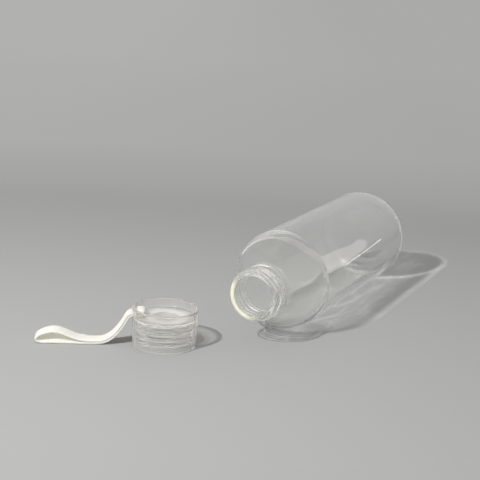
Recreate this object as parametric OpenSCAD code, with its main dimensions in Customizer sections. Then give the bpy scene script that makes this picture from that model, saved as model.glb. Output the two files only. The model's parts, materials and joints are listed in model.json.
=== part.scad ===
// Glass bottle lying on its side, with its clear screw cap and carrying strap standing beside it.
// Millimetres. +Z is up and the floor is z = 0. The bottle's axis runs along Y, with the mouth towards -Y.
// The origin is on the floor, under the middle of the whole part.

/* [Bottle] */
// Length of the bottle from the lip to the base
bottle_l = 215; // [200:1:240]
// Outer radius of the body
body_r = 36; // [33:0.5:40]
// Wall of the body and the shoulder
wall_t = 2.4; // [1.8:0.1:3.2]
// Thickness of the glass over the middle of the base
base_t = 5; // [4:0.5:7]
// Rounding between the body and the base
heel_r = 10; // [7:0.5:12]
// Width of the ring that the bottle stands on
bearing_w = 4; // [3:0.5:6]
// Height of the hollow under the base
punt_h = 3.5; // [2:0.5:5]
// Distance from the lip to where the shoulder's slope would meet the body
shoulder_l = 42.6; // [38:0.2:54]
// Rounding between the shoulder and the body
shoulder_r = 20; // [8:1:26]

/* [Mouth] */
// Radius of the bore
bore_r = 13.75; // [13:0.25:14.5]
// Outer radius of the mouth in front of the bead
finish_r = 17.6; // [17.2:0.1:18.2]
// Rounding of the lip
lip_r = 1.5; // [1:0.1:1.8]
// Radius of the bead that the cap's foot comes down to
bead_r = 19; // [18.8:0.1:20]
// Width of the bead along the axis
bead_w = 2; // [1.6:0.1:3]
// Radius of the short neck between the bead and the shoulder
neck_r = 18.2; // [17.8:0.1:18.5]
// Length of that neck
neck_l = 1.6; // [1:0.1:3]
// Rounding between the neck and the shoulder
neck_round = 4; // [3:0.5:5]

/* [Cap] */
// Height of the cap
cap_h = 26; // [25:0.5:30]
// Room between the mouth and the skirt, for the threads of both
thread_room = 1.6; // [1.4:0.1:2]
// Wall of the skirt at its foot
skirt_t = 2.6; // [2:0.1:3.2]
// How much larger the rim's radius is than the foot's
cap_flare = 0.7; // [0:0.1:1.2]
// Wall of the rim round the recess
rim_t = 2.5; // [1.8:0.1:3]
// Depth of the recess in the top
recess_h = 6.2; // [5.8:0.1:7]
// Thickness of the floor between the recess and the seal
web_t = 1.6; // [1.2:0.1:2.2]
// Rounding of the foot and the rim
edge_r = 0.7; // [0.4:0.1:0.9]
// Rounding at the bottom of the recess
recess_round = 1.2; // [0.8:0.1:2]
// Wall of the plug that carries the seal
plug_t = 1.8; // [1.4:0.1:2.4]
// How far the plug's bead holds the seal's edge
catch_w = 0.6; // [0.4:0.1:0.8]
// Height of that bead
catch_h = 1.2; // [1:0.1:1.6]

/* [Seal] */
// Outer radius of the silicone ring
seal_r = 15.8; // [15.4:0.1:16.4]
// Radius of its hole
seal_hole_r = 9.4; // [8.5:0.1:10]
// Thickness of the ring
seal_t = 2.4; // [2:0.1:2.8]
// Gap between the ring and the plug
seal_gap = 0.3; // [0.25:0.05:0.4]
// Rounding of the ring's edges
seal_round = 0.5; // [0.3:0.1:0.7]
// Gap between the cap's foot and the bead when the cap is screwed home
foot_gap = 0.4; // [0.3:0.1:1]

/* [Strap] */
// Width of the webbing
strap_w = 10.6; // [9:0.2:12]
// Thickness of the webbing
strap_t = 1.5; // [1.2:0.1:1.6]
// Gap between the two strands where they lie together
strand_gap = 0.1; // [0.1:0.05:0.2]
// How far the loop reaches from the cap's wall
strap_reach = 64.6; // [56:0.2:90]
// Height of the loop's crest above the floor
loop_h = 9; // [8:0.5:12]
// Clearance of the strap in its slot, on each side
slot_gap = 0.35; // [0.3:0.05:0.5]
// Clearance between the cap's wall and the end of the strap that turns
pivot_gap = 0.35; // [0.3:0.05:0.5]
// Length of the stop, from the recess wall inwards
stop_l = 6; // [5:0.5:7]
// Height of the stop
stop_h = 5.4; // [4.8:0.1:5.6]
// Rounding of the stop's upper edges
stop_round = 1.6; // [1:0.1:2]

/* [Layout] */
// Sideways distance from the bottle's axis to the cap's axis
cap_aside = 51.4; // [46:0.2:80]
// Distance from the lip's plane forward to the cap's axis
cap_ahead = 28.2; // [26:0.2:60]
// Direction of the strap, turned from +X towards +Y
strap_turn = 211.5; // [200:0.5:225]

/* [Hidden] */
$fn = 96;

// How far a cut runs past the surface that it opens
overrun = 1;
// Most degrees of one step round a corner, steps of the hollow under the base, and steps of a strap curve
corner_step = 12;
punt_steps = 6;
curve_steps = 9;

// Cap heights, from the foot at 0
recess_z = cap_h - recess_h;
web_z = recess_z - web_t;
seal_z = web_z - seal_t;
catch_z = seal_z - seal_gap;
plug_z = catch_z - catch_h;
// Cap radii
skirt_r = finish_r + thread_room;
foot_r = skirt_r + skirt_t;
rim_r = foot_r + cap_flare;
recess_r = rim_r - rim_t;
plug_r = seal_hole_r - seal_gap;

// Bottle distances from the lip. With the cap home the lip meets the seal, and the foot stops at the bead.
bead_s = seal_z + foot_gap;
neck_s = bead_s + bead_w;
cone_s = neck_s + neck_l;
shoulder_slope = atan((body_r - neck_r) / (shoulder_l - cone_s));
// Bottle radii
inner_r = body_r - wall_t;
flat_r = body_r - heel_r;
punt_r = flat_r - bearing_w;
// Sphere of the hollow under the base
dome_r = (pow(punt_r, 2) + pow(punt_h, 2)) / (2 * punt_h);
dome_s = bottle_l - punt_h + dome_r;

// The strap's two strands together, their slot, and the pivot just outside it
pair_t = 2 * strap_t + strand_gap;
slot_h = pair_t + 2 * slot_gap;
slot_w = strap_w + 2 * slot_gap;
strap_z = recess_z + slot_h / 2;
cap_wall_r = foot_r + cap_flare * strap_z / cap_h;
pivot_x = cap_wall_r + pivot_gap + pair_t / 2;
stop_r = recess_r - slot_gap;

// Places along the strap, as shares of its reach: where the strands lie flat, where they part, and the crest
lie_share = 0.36;
part_share = 0.43;
crest_share = 0.81;
// Handles of the fall from the slot to the floor, each as shares of its length and its drop
drop_shares = [[0.25, 0.5], [0.5, 1]];
// Handles of the upper strand's rise to the crest, as shares of its length
rise_shares = [0.49, 0.69];
// Handles of its fall from the crest into the turned end, as shares of its length and its drop
fall_shares = [[0.33, 0], [1, 0.52]];
// Height of the turned end, as a share of the crest's height, and handles of the turn under, as shares of that height
turn_share = 0.34;
curl_shares = [0.5, 0.5, 2];

lie_x = cap_wall_r + lie_share * strap_reach;
part_x = cap_wall_r + part_share * strap_reach;
crest_x = cap_wall_r + crest_share * strap_reach;
tip_x = cap_wall_r + strap_reach;

// The whole part's extent, for its origin
strap_dir = [cos(strap_turn), sin(strap_turn)];
tip_low = tip_x * strap_dir - strap_w / 2 * [abs(strap_dir[1]), abs(strap_dir[0])];
low_x = min(tip_low[0], -rim_r) - cap_aside;
low_y = min(tip_low[1], -rim_r) - cap_ahead;
origin = [(low_x + body_r) / 2, (low_y + bottle_l) / 2, 0];

function unit(v) = v / norm(v);

// The arc that rounds corner b between a and c
function corner(a, b, c, r) =
    let (u = unit(a - b), v = unit(c - b), half = acos(u * v) / 2)
    let (m = b + unit(u + v) * r / sin(half), p = b + u * r / tan(half) - m, q = b + v * r / tan(half) - m)
    let (start = atan2(p[1], p[0]), turn = atan2(p[0] * q[1] - p[1] * q[0], p * q))
    let (n = max(2, ceil(abs(turn) / corner_step)))
    [for (i = [0 : n]) m + r * [cos(start + turn * i / n), sin(start + turn * i / n)]];

// An outline from points [x, y] or [x, y, rounding]
function rounded(p) =
    [for (i = [0 : len(p) - 1])
        let (a = p[(i + len(p) - 1) % len(p)], b = p[i], c = p[(i + 1) % len(p)])
        each len(b) == 2 ? [b] : corner([a[0], a[1]], [b[0], b[1]], [c[0], c[1]], b[2])];

// A cubic curve, without its first point
function bezier(a, b, c, d) =
    [for (i = [1 : curve_steps])
        let (t = i / curve_steps, s = 1 - t)
        pow(s, 3) * a + 3 * s * s * t * b + 3 * s * t * t * c + pow(t, 3) * d];

// One side of a line, at distance d to its left
function side(line, d) =
    [for (i = [0 : len(line) - 1])
        let (u = unit(line[min(i + 1, len(line) - 1)] - line[max(i - 1, 0)]))
        line[i] + d * [-u[1], u[0]]];

// A line made t thick
function ribbon(line, t) =
    let (left = side(line, t / 2), right = side(line, -t / 2))
    [each left, for (i = [len(right) - 1 : -1 : 0]) right[i]];

// The dome over the hollow under the base, or the floor inside, from radius r to the middle
function dome(r, sphere_r) =
    [for (i = [0 : punt_steps])
        let (a = asin(r / sphere_r) * (1 - i / punt_steps))
        [sphere_r * sin(a), dome_s - sphere_r * cos(a)]];

// The bottle's wall, as points [radius, distance from the lip]
function bottle_outline() =
    let (skew = wall_t * tan(shoulder_slope / 2), floor_r = dome_r + base_t)
    let (bore_s = cone_s + (bore_r - neck_r + wall_t / cos(shoulder_slope)) / tan(shoulder_slope))
    let (floor_s = dome_s - sqrt(pow(floor_r, 2) - pow(flat_r, 2)), floor_line = dome(flat_r, floor_r))
    [
        [bore_r, 0, lip_r],
        [finish_r, 0, lip_r],
        [finish_r, bead_s],
        [bead_r, bead_s, bead_w / 4],
        [bead_r, neck_s, bead_w / 4],
        [neck_r, neck_s],
        [neck_r, cone_s, neck_round],
        [body_r, shoulder_l, shoulder_r],
        [body_r, bottle_l, heel_r],
        each dome(punt_r, dome_r),
        for (i = [punt_steps : -1 : 0]) floor_line[i],
        [inner_r, floor_s, heel_r - wall_t],
        [inner_r, shoulder_l + skew, shoulder_r - wall_t],
        [bore_r, bore_s, neck_round + wall_t]
    ];

module bottle_glass() {
    color([0.86, 0.9, 0.88])
    translate([0, 0, body_r] - origin)
    rotate([-90, 0, 0])
    rotate_extrude()
    polygon(rounded(bottle_outline()));
}

// Puts a piece that is drawn round the cap's axis, with the strap towards +X, in its place
module at_cap() {
    translate([-cap_aside, -cap_ahead, 0] - origin)
    rotate([0, 0, strap_turn])
    children();
}

// A bar along X, drawn from x0 to x1 and z0 to z1, and centred on the strap's line
module bar(x0, x1, z0, z1, w) {
    translate([x0, -w / 2, z0])
    cube([x1 - x0, w, z1 - z0]);
}

// A side view in the strap's upright plane, made as wide as the strap
module strap_width(outline) {
    translate([0, strap_w / 2, 0])
    rotate([90, 0, 0])
    linear_extrude(strap_w)
    polygon(outline);
}

// The cap's moulding, as points [radius, height]
function cap_outline() = [
    [skirt_r, 0, edge_r],
    [foot_r, 0, edge_r],
    [rim_r, cap_h, edge_r],
    [recess_r, cap_h, edge_r],
    [recess_r, recess_z, recess_round],
    [0, recess_z],
    [0, web_z],
    [plug_r - plug_t, web_z],
    [plug_r - plug_t, plug_z, catch_w],
    [plug_r + catch_w, plug_z, catch_w],
    [plug_r + catch_w, catch_z],
    [plug_r, catch_z],
    [plug_r, web_z],
    [skirt_r, web_z, edge_r]
];

module cap_shell() {
    color([0.9, 0.93, 0.95])
    at_cap()
    difference() {
        rotate_extrude()
        polygon(rounded(cap_outline()));
        bar(stop_r - stop_l / 2, rim_r + overrun, recess_z, recess_z + slot_h, slot_w);
    }
}

module seal_ring() {
    color([0.95, 0.95, 0.94])
    at_cap()
    rotate_extrude()
    polygon(rounded([
        [seal_hole_r, seal_z, seal_round],
        [seal_r, seal_z, seal_round],
        [seal_r, web_z, seal_round],
        [seal_hole_r, web_z, seal_round]
    ]));
}

// The block on the strap's ends, too tall to pass the slot. Its outer face follows the recess wall.
module strap_stop() {
    color([0.96, 0.95, 0.92])
    at_cap()
    intersection() {
        translate([0, 0, recess_z])
        strap_width(rounded([
            [stop_r - stop_l, 0, stop_round / 2],
            [stop_r + overrun, 0],
            [stop_r + overrun, stop_h],
            [stop_r - stop_l, stop_h, stop_round]
        ]));
        cylinder(h = cap_h, r = stop_r);
    }
}

// The strap's two ends where they pass through the slot
module strap_tails() {
    color([0.96, 0.95, 0.92])
    at_cap()
    difference() {
        bar(stop_r - stop_l / 2, cap_wall_r, strap_z - pair_t / 2, strap_z + pair_t / 2, strap_w);
        cylinder(h = cap_h, r = stop_r);
    }
}

// The two strands together, from the slot down to the floor
function pair_line() =
    let (top = [pivot_x, strap_z], foot = [lie_x, pair_t / 2], span = foot - top)
    let (handles = [for (share = drop_shares) [top[0] + share[0] * span[0], top[1] + share[1] * span[1]]])
    [top, each bezier(top, handles[0], handles[1], foot), [part_x, pair_t / 2]];

// The loop from where the strands part, over the crest, round the end and back along the floor
function loop_line() =
    let (high = pair_t - strap_t / 2, crest = [crest_x, loop_h - strap_t / 2], low = strap_t / 2)
    let (rise = crest_x - part_x, end = [tip_x - strap_t / 2, turn_share * loop_h], start_x = (lie_x + part_x) / 2)
    let (fall = end - crest, under = end[0] - curl_shares[2] * end[1])
    let (handles = [for (share = fall_shares) [crest[0] + share[0] * fall[0], crest[1] + share[1] * fall[1]]])
    [
        [start_x, high],
        [part_x, high],
        each bezier([part_x, high], [part_x + rise_shares[0] * rise, high],
            [part_x + rise_shares[1] * rise, crest[1]], crest),
        each bezier(crest, handles[0], handles[1], end),
        each bezier(end, [end[0], (1 - curl_shares[0]) * end[1]], [end[0] - curl_shares[1] * end[1], low], [under, low]),
        [start_x, low]
    ];

module strap_loop() {
    color([0.96, 0.95, 0.92])
    at_cap()
    union() {
        translate([pivot_x, 0, strap_z])
        rotate([90, 0, 0])
        cylinder(h = strap_w, r = pair_t / 2, center = true);
        strap_width(ribbon(pair_line(), pair_t));
        strap_width(ribbon(loop_line(), strap_t));
    }
}

bottle_glass();
cap_shell();
seal_ring();
strap_stop();
strap_tails();
strap_loop();
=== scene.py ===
# Glass bottle on its side, with its screw cap and strap standing beside it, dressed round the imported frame
import json
import math

import bmesh
import bpy
from mathutils import Matrix, Vector


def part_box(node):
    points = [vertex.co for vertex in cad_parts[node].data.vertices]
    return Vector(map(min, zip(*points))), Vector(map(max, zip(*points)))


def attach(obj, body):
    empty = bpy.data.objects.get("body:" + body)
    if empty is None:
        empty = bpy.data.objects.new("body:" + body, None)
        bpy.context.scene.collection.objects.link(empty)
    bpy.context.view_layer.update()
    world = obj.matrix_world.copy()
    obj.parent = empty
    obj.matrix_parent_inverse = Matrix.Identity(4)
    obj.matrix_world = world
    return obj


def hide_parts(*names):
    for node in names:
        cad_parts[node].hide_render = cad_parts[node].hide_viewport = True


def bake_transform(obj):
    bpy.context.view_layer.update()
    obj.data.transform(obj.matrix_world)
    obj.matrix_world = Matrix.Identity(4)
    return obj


MM = 0.001

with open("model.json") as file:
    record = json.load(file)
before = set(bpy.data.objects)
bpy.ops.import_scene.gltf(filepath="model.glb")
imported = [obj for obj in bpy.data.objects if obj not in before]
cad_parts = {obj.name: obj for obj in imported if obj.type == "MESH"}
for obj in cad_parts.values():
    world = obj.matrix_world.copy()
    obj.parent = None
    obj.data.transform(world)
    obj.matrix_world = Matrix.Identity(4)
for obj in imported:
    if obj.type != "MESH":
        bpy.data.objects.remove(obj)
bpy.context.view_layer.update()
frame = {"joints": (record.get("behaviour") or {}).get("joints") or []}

# Where the pieces stand, from the frame
bottle_low, bottle_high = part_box("bottle_glass")
cap_low, cap_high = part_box("cap_shell")
pivot = next(joint for joint in frame["joints"] if joint["name"] == "strap_swing")
LIP_CENTRE = Vector(((bottle_low.x + bottle_high.x) / 2, bottle_low.y, (bottle_low.z + bottle_high.z) / 2))
BODY_R = (bottle_high.z - bottle_low.z) / 2
BOTTLE_L = bottle_high.y - bottle_low.y
CAP_CENTRE = Vector(((cap_low.x + cap_high.x) / 2, (cap_low.y + cap_high.y) / 2, cap_low.z))
CAP_H = cap_high.z - cap_low.z
RIM_R = (cap_high.x - cap_low.x) / 2
PIVOT = Vector(pivot["pos_m"]) - CAP_CENTRE
STRAP_TURN = math.atan2(PIVOT.y, PIVOT.x)
STRAP_PLACE = Matrix.Translation(CAP_CENTRE) @ Matrix.Rotation(STRAP_TURN, 4, "Z")

# Camera
VIEW_AIM = Vector((-85.8, 183, 0)) * MM
VIEW_AZIMUTH = math.radians(25.5)
VIEW_ELEVATION = math.radians(14.8)
VIEW_TURN = math.radians(3.27)
VIEW_DISTANCE = 1076.9 * MM
VIEW_END = 30
LENS = 88
SENSOR_W = 36

# Bottle
WALL = 2.4 * MM
BASE_T = 5 * MM
HEEL_R = 10 * MM
BEARING_W = 4 * MM
PUNT_H = 3.5 * MM
SHOULDER_L = 42.6 * MM
SHOULDER_R = 20 * MM
BORE_R = 13.75 * MM
FINISH_R = 17.6 * MM
LIP_R = 1.5 * MM
BEAD_R = 19 * MM
BEAD_W = 2 * MM
BEAD_ROUND = BEAD_W / 4
NECK_R = 18.2 * MM
NECK_L = 1.6 * MM
NECK_ROUND = 4 * MM

# Thread of the mouth and of the cap
PITCH = 3.8 * MM
RIDGE_H = 1.15 * MM
CAP_RIDGE_H = 1 * MM
RIDGE_W = 2.6 * MM
CREST_W = 0.3 * MM
BOTTLE_THREAD_START = 2.8 * MM
BOTTLE_START_TURN = 60 / 360
BOTTLE_TURNS = 2.6
CAP_THREAD_START = 1.9 * MM
CAP_TURNS = 3.4
RUN_OUT_TURNS = 0.12

# Cap and seal
SKIRT_R = 19.2 * MM
FOOT_R = 21.8 * MM
RIM_T = 2.5 * MM
RECESS_H = 6.2 * MM
WEB_T = 1.6 * MM
EDGE_R = 0.7 * MM
RECESS_ROUND = 1.2 * MM
PLUG_T = 1.8 * MM
CATCH_W = 0.6 * MM
CATCH_H = 1.2 * MM
SEAL_R = 15.8 * MM
SEAL_HOLE_R = 9.4 * MM
SEAL_T = 2.4 * MM
SEAL_GAP = 0.3 * MM
SEAL_ROUND = 0.5 * MM
AIR_FILM = 0.08 * MM
FOOT_GAP = 0.4 * MM

# Strap, and its slot in the rim
STRAP_W = 10.6 * MM
STRAP_T = 1.5 * MM
STRAND_GAP = 0.1 * MM
PRESSED_GAP = 0.02 * MM
STRAP_REACH = 64.6 * MM
LOOP_H = 9 * MM
SLOT_GAP = 0.35 * MM
SLOT_CUT = 10 * MM
SLOT_ROUND_SHARE = 0.06

# Shares of the strap's reach at which it lies down, opens, is highest and turns back, and of its height there
REACH_SHARES = (0.36, 0.43, 0.81, 1)
END_SHARE = 0.34

# Handles of its curves, as shares of the drop to the table, of the loop's rise and fall and of its end's height
DROP_SHARES = Vector((0.25, 0.5))
FOOT_SHARE = 0.5
RISE_SHARES = (0.49, 0.69)
FALL_SHARES = (0.33, 0.52)
TURN_SHARE = 0.5
LANDING_SHARE = 2

# The bend outside the slot: its start, its handles, where it ends on the way down, and the drop that it covers
BEND_START = 0.3 * MM
BEND_OUT = 0.6 * MM
BEND_LIFT = Vector((-0.3, 0.6)) * MM
BEND_END_SHARE = 0.25
BEND_DROP = 0.6 * MM

# How far the loop's lower and upper strands tilt, most of all past the middle of the loop
LOWER_TILT = math.radians(16)
UPPER_TILT = math.radians(4)
TILT_POWER = 1.4

# The webbing's section: points round it, and the powers that square its edges and its faces
SECTION_POINTS = 20
EDGE_POWER = 0.3
FACE_POWER = 0.38

# Stop on the strap's ends
STOP_L = 6 * MM
STOP_H = 5.4 * MM
STOP_ROUND = 1.5 * MM
STOP_ROUND_STEPS = 8
STOP_CORNER = 1.3 * MM
STOP_CORNER_STEPS = 6
STOP_FOOT_W = 0.3 * MM
STOP_FOOT_H = 0.5 * MM

# Meshes: how finely they are divided, how near two points or radii are when they are the same, and sharp edges
ROUND_POINTS = 192
SEAL_POINTS = 128
ROUND_STEP = math.radians(6)
SEAL_STEP = math.radians(15)
DOME_ROWS = 14
THREAD_ROW = 0.2 * MM
SAME_POINT = 0.002 * MM
SAME_RADIUS = 0.001 * MM
SHARP_EDGE = math.radians(38)

# Glass: the waves of its surface, and how often light runs round inside a wall before a flaw lets it out
WAVE_L = 22 * MM
WAVE_H = 0.4 * MM
GLASS_RUNS = 7.5

# The lip's painted highlight, set on a fixed side that doesn't follow the lamp: by the way to it from the mouth's
# middle, by the radius and by the distance from the lip
PAINTED_LIP_GLOW = 1.1
LIT_WAY = (-0.86, 0, -0.5)
LIT_SIDE = {"From Min": 0.2 * FINISH_R, "From Max": 0.65 * FINISH_R, "To Max": PAINTED_LIP_GLOW}
LIT_RING = {"From Min": 14 * MM, "From Max": 14.8 * MM}
LIT_FRONT = {"From Min": 4.5 * MM, "From Max": 2.5 * MM}

# The tint of the light that the glass scatters, by the distance from the lip, and its gain where the painted
# highlight lights the lip
TINT_SPAN = {"From Min": 10 * MM, "From Max": 40 * MM}
LIP_TINTS = ((0, "#FFFDE4"), (1, "#F6F6F2"))
LIP_GAIN = {"From Min": 0.5 * PAINTED_LIP_GLOW, "From Max": PAINTED_LIP_GLOW, "To Min": 1, "To Max": 1.4}

# What the body lets through to the floor, by how far its wall is turned away, and a painted bright line at its
# edge, brighter than open light
BODY_SHADES = ((0, "#FDFDFD"), (0.4, "#FDFDFD"), (0.47, "#F5F6F5"), (0.57, "#E9EAE9"), (0.66, "#E5E6E5"),
               (0.73, "#F2F2F2"), (0.8, "#FFFFFF"), (1, "#FFFFFF"))
BODY_EDGE = {"From Min": 0.75, "From Max": 0.82, "To Min": 1, "To Max": 1.1}

# The same for the shoulder and the mouth, whose walls spread the light, and where the body takes over from them
SHOULDER_SHADES = ((0, "#FCFCFC"), (0.45, "#F6F6F6"), (0.65, "#E6E7E6"), (0.85, "#CCCECC"), (1, "#9A9C9A"))
BODY_SPAN = {"From Min": 37 * MM, "From Max": 45 * MM}

# Painted caustic streaks in the bottle's shadow on the floor, from a stretched noise of their own
STREAK_L = 16 * MM
STREAK_SHAPE = (1, 0.22, 1)
STREAK_LEVEL = 0.53
STREAK_LIGHT = {"From Min": 0.004, "From Max": 0.02, "To Min": 1.3, "To Max": 1}

# Painted shade for the base's shadow and a painted bright ring for the heel, by the radius, and where they start
# on the bottle's length
BASE_SHADE = {"From Min": 32 * MM, "From Max": 30 * MM, "To Min": 1, "To Max": 0.76}
HEEL_LIGHT = {"From Min": 31.5 * MM, "From Max": 33.5 * MM, "To Min": 1, "To Max": 1.45}
HEEL_SPAN = {"From Min": 0.945 * BOTTLE_L, "From Max": 0.965 * BOTTLE_L}

# Painted dark and bright rings in the thread's shadow, and where they end
THREAD_LIGHT = {"From Min": -1, "From Max": 1, "To Min": 0.55, "To Max": 1.15}
THREAD_SPAN = {"From Min": 20 * MM, "From Max": 17 * MM}

# Plastic: how often light runs round inside it, what it lets through to the floor, and a painted dark line that
# its rim adds to its shadow
PLASTIC_RUNS = 3.5
PLASTIC_SHADES = ((0, "#F7F7F7"), (0.6, "#EEEEED"), (0.8, "#D0D1CF"), (0.93, "#888A88"), (1, "#6E706E"))
RIM_PAINTED_SHADOW = {"From Min": CAP_H - 2.6 * MM, "From Max": CAP_H - 1.6 * MM, "To Min": 1, "To Max": 0.56}

# The share of light that the plastic scatters, more where it is seen edge on
PLASTIC_HAZE = {"From Min": 0.2, "From Max": 0.8, "To Min": 0.12, "To Max": 0.35}

# Webbing and silicone: the cross ribs, drawn about as coarse as the real ones, and how deep light goes in
RIB_W = 1.1 * MM
RIB_H = 0.08 * MM
WEBBING_DEPTH = 4 * MM
SILICONE_DEPTH = 2 * MM

# Floor: its size, how far it lies under the pieces, and the turn of its tones
FLOOR_HALF = 8
FLOOR_DROP = 0.02 * MM
FLOOR_TURN = math.radians(-25.5)

# Its painted tones, which stand in for how the light fell over it: by the depth near the pieces and away from
# them, and by the side
DEPTH_SPAN = {"From Min": -0.25, "From Max": 1.75}
NEAR_TONES = ((0, "#B9B9B7"), (0.13, "#B4B4B2"), (0.24, "#ADADAC"), (0.33, "#ABABAA"), (1, "#B0B0AF"))
FAR_TONES = ((0, "#B2B2B0"), (0.25, "#A7A7A6"), (0.3, "#A5A5A4"), (0.45, "#AFAFAD"), (0.75, "#B1B1B0"),
             (1, "#B3B3B1"))
SIDE_SPAN = {"From Min": -0.3, "From Max": 0.3}
SIDE_TONES = ((0, "#FCFCFC"), (1, "#F3F3F3"))

# Where the floor goes over to an even light of its own, behind what the lamp lights and in front of it
BACK_SPAN = {"From Min": 0.26, "From Max": 0.42}
FRONT_SPAN = {"From Min": -0.38, "From Max": -0.7}

# Key lamp
KEY_PLACE = Vector((-119.8, -591.4, 547)) * MM
KEY_SIZE = 24 * MM
KEY_LEVEL = 8.9

# Surround: what lights the pieces, and what glass and gloss show, greyer behind the group than round it
FILL_COLOUR = "#A3A3A3"
BACK_COLOUR = "#B4B4B2"
OPEN_COLOUR = "#E6E5E2"
OPEN_SPAN = {"From Min": 0.5, "From Max": -0.2}

# Strips of light: how far they stand from the bottle's middle, and how bright they are
STRIP_COLOUR = "#FFFBF8"
STRIP_DISTANCE = 1.6
LOW_DISTANCE = 0.45
TOP_DISTANCE = 1.8
STRIP_LEVEL = 1.5
SIDE_LEVEL = 0.5 * STRIP_LEVEL
LINE_LEVEL = 4 * STRIP_LEVEL
TOP_LEVEL = 1.6 * STRIP_LEVEL

# How much brighter they get higher up and to the left
HIGH_SPAN = {"From Min": 0.3, "From Max": 1.4}
HIGH_GAIN = 1.6
LEFT_LIGHT = {"From Min": 0.2, "From Max": -0.6, "To Min": 1, "To Max": 1.45}

# The two edges of each strip, as azimuth and elevation in degrees
STRIP_COURSE = (
    ((67, 9), (66, 7)), ((68, 13), (65, 1)), ((66, 12), (63, 0)), ((66, 15), (57, 4)), ((64, 21), (43, 17)),
    ((55, 32), (15, 38)), ((45, 52), (-11, 56)), ((66, 66), (-25, 70)), ((100, 72), (-60, 82)),
    ((130, 71), (-156, 80)), ((155, 63), (-179, 68)), ((159, 51), (174, 55)), ((156, 26), (166, 30)),
    ((149, 5), (158, 9)), ((144, -3), (154, 1)),
)
SIDE_COURSE = (((150, 30), (153, 32)), ((145, 34), (148, 37)), ((134, 39), (136, 42)), ((120, 40), (121, 43)))
LINE_COURSE = (((58, -3), (58, -2.4)), ((66.4, 1.1), (66.4, 1.7)))
TAIL_COURSE = (((20, 2), (20, 6)), ((35, 3), (35, 9)), ((48, 3), (48, 8)), ((56.5, -1.5), (56.5, 2)),
               ((58.5, -2), (58.5, 1)), ((61, -1), (61, 0.5)))
TOP_COURSE = (((-100, 40), (-40, 40)), ((-105, 64), (-30, 64)))

# How many walls of glass and plastic light is followed through
BOUNCES = 20
CLEAR_BOUNCES = 24

# Sizes that follow from the others: heights of the cap are from its foot, and the bead's place is from the lip
RECESS_Z = CAP_H - RECESS_H
WEB_Z = RECESS_Z - WEB_T
SEAL_Z = WEB_Z - SEAL_T
RECESS_R = RIM_R - RIM_T
STOP_R = RECESS_R - SLOT_GAP
PAIR_T = 2 * STRAP_T + STRAND_GAP
SLOT_H = PAIR_T + 2 * SLOT_GAP
SLOT_W = STRAP_W + 2 * SLOT_GAP
BEAD_S = SEAL_Z + FOOT_GAP


def srgb(code):
    """A colour written as sRGB hex, as linear RGBA."""
    parts = [int(code[i:i + 2], 16) / 255 for i in (1, 3, 5)]
    return [p / 12.92 if p <= 0.04045 else ((p + 0.055) / 1.055) ** 2.4 for p in parts] + [1]


def add(tree, kind, links=None, stops=(), **settings):
    """Adds a node, sets what it is told, and links or sets its inputs, by name or by place. A node given to an
    input stands for its first output in use. Stops are those of a ramp, as place and hex colour."""
    made = tree.nodes.new(kind)
    for name, value in settings.items():
        setattr(made, name, value)
    for name, value in (links or {}).items():
        if isinstance(value, bpy.types.Node):
            value = next(socket for socket in value.outputs if socket.enabled)
        if isinstance(value, bpy.types.NodeSocket):
            tree.links.new(value, made.inputs[name])
        else:
            made.inputs[name].default_value = value
    for place, _ in stops[1:-1]:
        made.color_ramp.elements.new(place)
    for i, (place, code) in enumerate(stops):
        made.color_ramp.elements[i].position = place
        made.color_ramp.elements[i].color = srgb(code)
    return made


def link(name, data):
    """A new object in the scene."""
    made = bpy.data.objects.new(name, data)
    bpy.context.scene.collection.objects.link(made)
    return made


def view_camera():
    """The photograph's camera: a long lens, low and from the front right, turned a little."""
    level = Vector((-math.sin(VIEW_AZIMUTH), math.cos(VIEW_AZIMUTH), 0))
    forward = level * math.cos(VIEW_ELEVATION) - Vector((0, 0, math.sin(VIEW_ELEVATION)))
    data = bpy.data.cameras.new("camera")
    data.lens, data.sensor_width = LENS, SENSOR_W
    data.clip_end = VIEW_END
    camera = link("camera", data)
    look = forward.to_track_quat("-Z", "Y").to_matrix().to_4x4()
    turn = Matrix.Rotation(VIEW_TURN, 4, "Z")
    camera.matrix_world = Matrix.Translation(VIEW_AIM - VIEW_DISTANCE * forward) @ look @ turn
    bpy.context.scene.camera = camera


# Materials

def new_material(name, settings):
    """A material, with the inputs of its shader that are the same all over."""
    material = bpy.data.materials.new(name)
    material.use_nodes = True
    tree = material.node_tree
    shader = tree.nodes["Principled BSDF"]
    for socket, value in settings.items():
        shader.inputs[socket].default_value = value
    return material, tree, shader


def show(tree, shader):
    """Makes this shader the material's surface."""
    tree.links.new(shader.outputs[0], tree.nodes["Material Output"].inputs["Surface"])


def clear_wall(tree, shader, tint, runs, haze, passing):
    """Lets the light of the lamp and of the room reach the floor straight through a clear wall, dimmed as
    passing says. Light that has run round inside the wall comes out at its flaws, and haze is the share that
    scatters at once."""
    path = add(tree, "ShaderNodeLightPath").outputs
    caught = add(tree, "ShaderNodeMath", {0: path["Ray Depth"], 1: runs}, operation="GREATER_THAN")
    inner = add(tree, "ShaderNodeBsdfDiffuse", {"Color": tint})
    outer = add(tree, "ShaderNodeBsdfTranslucent", {"Color": tint})
    flaw = add(tree, "ShaderNodeMixShader", {0: 0.5, 1: inner, 2: outer})
    scattered = add(tree, "ShaderNodeMath", {0: caught, 1: haze}, operation="MAXIMUM")
    seen = add(tree, "ShaderNodeMixShader", {0: scattered, 1: shader, 2: flaw})
    passed = add(tree, "ShaderNodeBsdfTransparent", {"Color": passing})
    rays = {0: path["Is Shadow Ray"], 1: path["Is Diffuse Ray"]}
    lighting = add(tree, "ShaderNodeMath", rays, operation="MAXIMUM")
    show(tree, add(tree, "ShaderNodeMixShader", {0: lighting, 1: seen, 2: passed}))


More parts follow.
